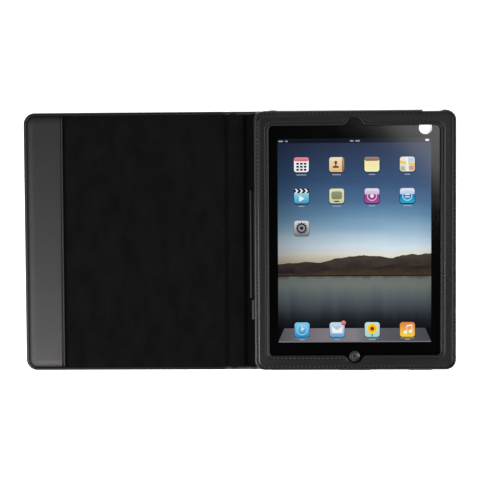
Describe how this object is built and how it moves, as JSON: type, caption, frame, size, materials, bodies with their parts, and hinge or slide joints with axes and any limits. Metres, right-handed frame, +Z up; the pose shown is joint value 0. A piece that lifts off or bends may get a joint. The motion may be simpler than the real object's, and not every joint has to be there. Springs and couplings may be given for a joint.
{
  "type": "tablet case",
  "caption": "Folio case for a large tablet: padded front cover, folding spine and a framed tray with key cut-outs and a side flap, holding a removable display tablet.",
  "frame": {"origin": "middle of the open case, on the floor it lies on", "axes": "+X from the front cover towards the tray, +Y towards the top of the tablet, +Z up from the outside towards the inside"},
  "size_m": [0.419, 0.2524, 0.015],
  "materials": {
    "outer_leather": "fine grained, satin black",
    "band_leather": "smooth satin, charcoal",
    "frame_leather": "fine grained, satin black",
    "suede": "matt microsuede, near black",
    "foam": "soft matt padding",
    "board": "grey board, hidden",
    "dummy_shell": "dark grey, satin",
    "dummy_face": "polished black",
    "screen": "glossy printed picture",
    "dummy_key": "dark grey, satin"
  },
  "bodies": {
    "tray": {"back_skin": "outer_leather", "back_board": "board", "bay_lining": "suede", "wall_top": "frame_leather", "wall_bottom": "frame_leather", "wall_right": "frame_leather", "frame_board": "board", "frame_leather": "frame_leather", "frame_piping": "frame_leather", "window_hem": "frame_leather", "frame_edge_tab": "frame_leather", "tray_fold_skin": "outer_leather", "tray_fold_lining": "suede"},
    "spine": {"spine_skin": "outer_leather", "spine_board": "board", "spine_lining": "suede", "cover_fold_skin": "outer_leather", "cover_fold_lining": "suede"},
    "front_cover": {"cover_skin": "outer_leather", "cover_board": "board", "cover_foam": "foam", "cover_lining": "suede", "cover_band": "band_leather"},
    "closing_flap": {"closure_flap": "frame_leather"},
    "display_tablet": {"tablet_shell": "dummy_shell", "tablet_glass_face": "dummy_face", "screen_print": "screen"},
    "home_key": {"home_button": "dummy_key"},
    "power_key": {"power_button": "dummy_key"},
    "volume_key": {"volume_rocker": "dummy_key"},
    "side_switch_key": {"side_switch": "dummy_key"}
  },
  "joints": [
    {"name": "spine_hinge", "type": "hinge", "parent": "tray", "child": "spine", "pos_m": [0.008, 0, 0.0005], "axis": [0, 1, 0], "range_deg": [-90, 90], "deforming": ["tray_fold_skin", "tray_fold_lining"]},
    {"name": "cover_hinge", "type": "hinge", "parent": "spine", "child": "front_cover", "pos_m": [-0.0108, 0, 0.0005], "axis": [0, 1, 0], "range_deg": [-90, 90], "deforming": ["cover_fold_skin", "cover_fold_lining"]},
    {"name": "tablet_slide", "type": "slide", "parent": "tray", "child": "display_tablet", "axis": [1, 0, 0], "range_m": [-0.185, 0]},
    {"name": "flap_fold", "type": "hinge", "parent": "tray", "child": "closing_flap", "pos_m": [0.0145, 0, 0.0023], "axis": [0, 1, 0], "range_deg": [-90, 0], "deforming": ["closure_flap"]},
    {"name": "home_key_press", "type": "slide", "parent": "display_tablet", "child": "home_key", "axis": [0, 0, -1], "range_m": [0, 0.0003], "stiffness_N_per_m": 1500, "springref_m": -0.0002},
    {"name": "power_key_press", "type": "slide", "parent": "display_tablet", "child": "power_key", "axis": [0, -1, 0], "range_m": [0, 0.0003], "stiffness_N_per_m": 1500, "springref_m": -0.0002},
    {"name": "volume_key_rock", "type": "hinge", "parent": "display_tablet", "child": "volume_key", "pos_m": [0.2045, 0.08, 0.0078], "axis": [0, 0, 1], "range_deg": [-1.4, 1.4], "stiffness_Nm_per_rad": 0.8},
    {"name": "side_switch_slide", "type": "slide", "parent": "display_tablet", "child": "side_switch_key", "axis": [0, 1, 0], "range_m": [-0.0015, 0]}
  ],
  "couplings": [
    {"joint": "flap_fold", "follows": "tablet_slide", "rad_per_m": 8.49}
  ]
}
